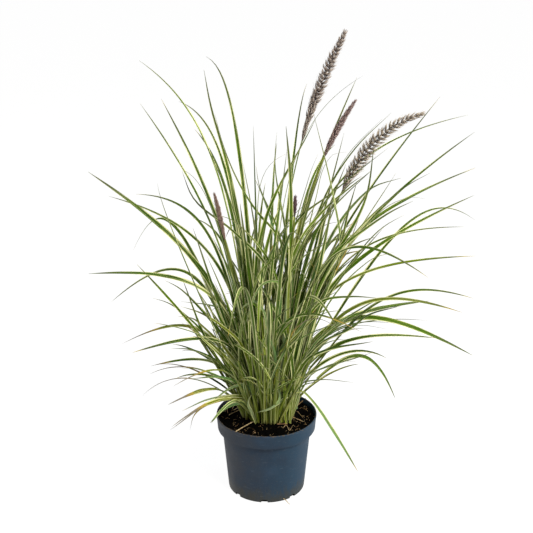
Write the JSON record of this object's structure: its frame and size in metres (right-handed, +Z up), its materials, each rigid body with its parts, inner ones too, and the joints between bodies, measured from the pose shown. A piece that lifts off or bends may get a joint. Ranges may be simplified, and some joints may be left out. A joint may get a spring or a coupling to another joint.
{
  "type": "potted fountain grass clump",
  "caption": "Clump of variegated fountain grass with bottlebrush flower spikes, growing in peat in a round plastic nursery pot.",
  "frame": {"origin": "centre of the pot's underside, on the surface it stands on", "axes": "+Z up, -Y towards the front from which the clump is seen, +X to its right"},
  "size_m": [0.716, 0.6, 0.87],
  "materials": {
    "pot": "dusty slate-blue moulded plastic",
    "soil": "damp dark peat with pale crumbs",
    "crown": "satin yellow-green leaf sheaths",
    "leaf": "satin green blades with pale cream margins",
    "stalk": "satin olive stalks",
    "spike": "taupe-brown bristles"
  },
  "bodies": {
    "root": {"pot": "pot", "soil": "soil", "crown": "crown", "leaf_left_01": "leaf", "leaf_left_02": "leaf", "leaf_left_03": "leaf", "leaf_left_04": "leaf", "leaf_left_05": "leaf", "leaf_left_06": "leaf", "leaf_left_07": "leaf", "leaf_left_08": "leaf", "leaf_left_09": "leaf", "leaf_left_10": "leaf", "leaf_left_11": "leaf", "leaf_left_12": "leaf", "leaf_left_13": "leaf", "leaf_left_14": "leaf", "leaf_left_15": "leaf", "leaf_left_16": "leaf", "leaf_left_17": "leaf", "leaf_right_01": "leaf", "leaf_right_02": "leaf", "leaf_right_03": "leaf", "leaf_right_04": "leaf", "leaf_right_05": "leaf", "leaf_right_06": "leaf", "leaf_right_07": "leaf", "leaf_right_08": "leaf", "leaf_right_09": "leaf", "leaf_right_10": "leaf", "leaf_right_11": "leaf", "leaf_right_12": "leaf", "leaf_right_13": "leaf", "leaf_right_14": "leaf", "leaf_right_15": "leaf", "leaf_right_16": "leaf", "leaf_right_17": "leaf", "leaf_front_01": "leaf", "leaf_front_02": "leaf", "leaf_front_03": "leaf", "leaf_front_04": "leaf", "leaf_front_05": "leaf", "leaf_back_01": "leaf", "leaf_back_02": "leaf", "leaf_back_03": "leaf", "leaf_back_04": "leaf", "leaf_back_05": "leaf", "leaf_back_06": "leaf", "leaf_inner_01": "leaf", "leaf_inner_02": "leaf", "stalk_tall": "stalk", "stalk_middle": "stalk", "stalk_right": "stalk", "stalk_left": "stalk", "stalk_inner": "stalk", "spike_tall": "spike", "spike_middle": "spike", "spike_right": "spike", "spike_left": "spike", "spike_inner": "spike"}
  },
  "joints": []
}
